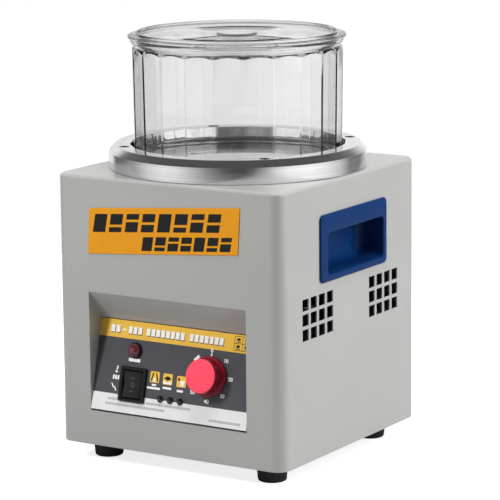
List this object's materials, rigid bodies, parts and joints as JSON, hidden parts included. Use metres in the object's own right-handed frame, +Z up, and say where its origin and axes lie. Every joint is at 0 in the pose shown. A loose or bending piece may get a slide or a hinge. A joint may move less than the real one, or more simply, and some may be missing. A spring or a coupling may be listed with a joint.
{
  "type": "magnetic tumbler",
  "caption": "Bench-top magnetic tumbler: clear lidded bowl on a steel collar over a square painted case with a sloped control panel, rocker switch and timer knob.",
  "frame": {"origin": "on the table, under the middle of the object's box", "axes": "+Z up, the control panel faces -Y, the grip cups are on the -X and +X sides"},
  "size_m": [0.2352, 0.2478, 0.375],
  "materials": {
    "case_paint": "smooth semi-gloss light grey paint",
    "printed_film": "printed film with a gold strip, a dark grey field and a light grey band",
    "label_film": "printed orange film with plain black bars",
    "foot_rubber": "moulded black rubber",
    "dark_screws": "blackened steel",
    "blue_plastic": "moulded blue plastic, satin",
    "collar_steel": "turned stainless steel, fine brushing round the ring",
    "aluminium_parts": "machined",
    "clear_bowl": "clear polycarbonate, polished",
    "black_plastic": "fine moulded texture",
    "red_lens": "clear dark red lens",
    "red_plastic": "satin red plastic",
    "plated_steel": "zinc plated",
    "motor_paint": "satin black paint",
    "magnet_nickel": "nickel plated",
    "board_green": "green solder mask",
    "transformer_steel": "varnished laminations and windings",
    "lead_rubber": "smooth cable sheath"
  },
  "bodies": {
    "chassis": {"case_shell": "case_paint", "base_plate": "case_paint", "rear_panel": "case_paint", "control_panel": "case_paint", "panel_overlay": "printed_film", "front_label": "label_film", "foot_1": "foot_rubber", "foot_2": "foot_rubber", "foot_3": "foot_rubber", "foot_4": "foot_rubber", "foot_screw_1": "dark_screws", "foot_screw_2": "dark_screws", "foot_screw_3": "dark_screws", "foot_screw_4": "dark_screws", "collar_screw_1": "dark_screws", "collar_screw_2": "dark_screws", "collar_screw_3": "dark_screws", "collar_screw_4": "dark_screws", "rear_screw_1": "dark_screws", "rear_screw_2": "dark_screws", "rear_screw_3": "dark_screws", "rear_screw_4": "dark_screws", "grip_cup_right": "blue_plastic", "grip_cup_left": "blue_plastic", "collar_ring": "collar_steel", "deck_plate": "aluminium_parts", "lamp_body": "black_plastic", "lamp_lens": "red_lens", "switch_housing": "black_plastic", "status_led_1": "black_plastic", "status_led_2": "black_plastic", "status_led_3": "black_plastic", "timer_body": "black_plastic", "timer_nut": "plated_steel", "motor_bracket": "aluminium_parts", "bracket_pillar_1": "plated_steel", "bracket_pillar_2": "plated_steel", "bracket_pillar_3": "plated_steel", "bracket_pillar_4": "plated_steel", "drive_motor": "motor_paint", "cooling_fan_frame": "black_plastic", "fan_guard": "plated_steel", "power_inlet": "black_plastic", "control_board": "board_green", "board_transformer": "transformer_steel", "mains_lead": "lead_rubber", "motor_lead": "lead_rubber"},
    "bowl": {"bowl": "clear_bowl"},
    "lid": {"bowl_lid": "clear_bowl"},
    "knob": {"timer_knob": "red_plastic", "timer_spindle": "plated_steel"},
    "rocker": {"switch_rocker": "black_plastic"},
    "rotor": {"motor_shaft": "plated_steel", "magnet_disc": "aluminium_parts", "rotor_magnet_1": "magnet_nickel", "rotor_magnet_2": "magnet_nickel", "rotor_magnet_3": "magnet_nickel", "rotor_magnet_4": "magnet_nickel"},
    "fan": {"cooling_fan_rotor": "black_plastic"},
    "fuse_drawer": {"fuse_drawer": "black_plastic"}
  },
  "joints": [
    {"name": "bowl_lift", "type": "slide", "parent": "chassis", "child": "bowl", "axis": [0, 0, 1], "range_m": [0, 0.06]},
    {"name": "lid_lift", "type": "slide", "parent": "bowl", "child": "lid", "axis": [0, 0, 1], "range_m": [0, 0.04]},
    {"name": "timer_turn", "type": "hinge", "parent": "chassis", "child": "knob", "pos_m": [0.0365, -0.10522, 0.08951], "axis": [0, 0.9717, -0.2362], "range_deg": [0, 315]},
    {"name": "rocker_tip", "type": "hinge", "parent": "chassis", "child": "rocker", "pos_m": [-0.0402, -0.10878, 0.07402], "axis": [1, 0, 0], "range_deg": [-10, 10]},
    {"name": "rotor_spin", "type": "hinge", "parent": "chassis", "child": "rotor", "pos_m": [0, 0.00189, 0.242], "axis": [0, 0, 1], "continuous": true},
    {"name": "fan_spin", "type": "hinge", "parent": "chassis", "child": "fan", "pos_m": [0, 0.10689, 0.15], "axis": [0, 1, 0], "continuous": true},
    {"name": "fuse_drawer_slide", "type": "slide", "parent": "chassis", "child": "fuse_drawer", "axis": [0, 1, 0], "range_m": [0, 0.018]}
  ]
}
